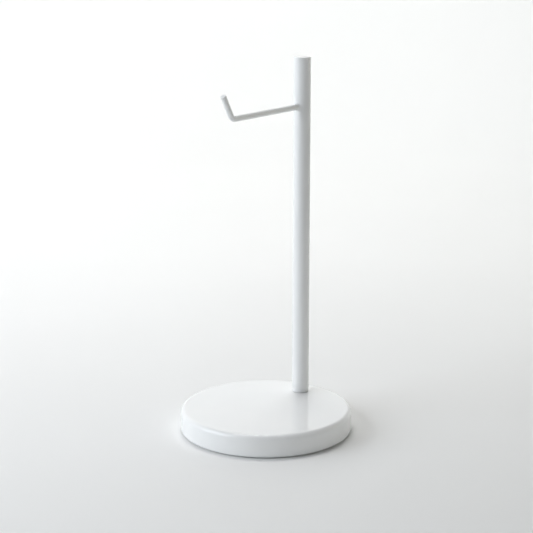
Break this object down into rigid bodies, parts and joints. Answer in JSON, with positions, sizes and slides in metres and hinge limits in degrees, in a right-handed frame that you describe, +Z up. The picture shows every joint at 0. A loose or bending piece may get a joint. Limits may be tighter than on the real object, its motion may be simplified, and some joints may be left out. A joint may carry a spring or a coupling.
{
  "type": "headphone stand",
  "caption": "Desk headphone stand: a weighted round base, a slim round pole near its back edge and a bent rod hook that carries the headband over the base.",
  "frame": {"origin": "the centre of the base, on the surface that the stand rests on", "axes": "+Z up along the pole; the pole stands towards +Y, and the hook points along -Y over the middle of the base; +X to the right"},
  "size_m": [0.12, 0.12, 0.257],
  "materials": {
    "gloss_white_paint": "gloss white powder coat on steel",
    "cast_iron": "sand-cast, black dipped",
    "foam_tape": "double-sided foam sheet",
    "pad_foam": "closed-cell foam with a fine skin",
    "zinc_plate": "bright zinc plate",
    "bare_steel": "turned mild steel"
  },
  "bodies": {
    "root": {"base_cover": "gloss_white_paint", "base_weight": "cast_iron", "weight_tape": "foam_tape", "non_slip_pad": "pad_foam", "flat_washer": "zinc_plate", "spring_washer": "zinc_plate", "foot_bolt": "zinc_plate", "pole_tube": "gloss_white_paint", "pole_top_plug": "gloss_white_paint", "pole_foot_insert": "bare_steel", "hook_rod": "gloss_white_paint"}
  },
  "joints": []
}
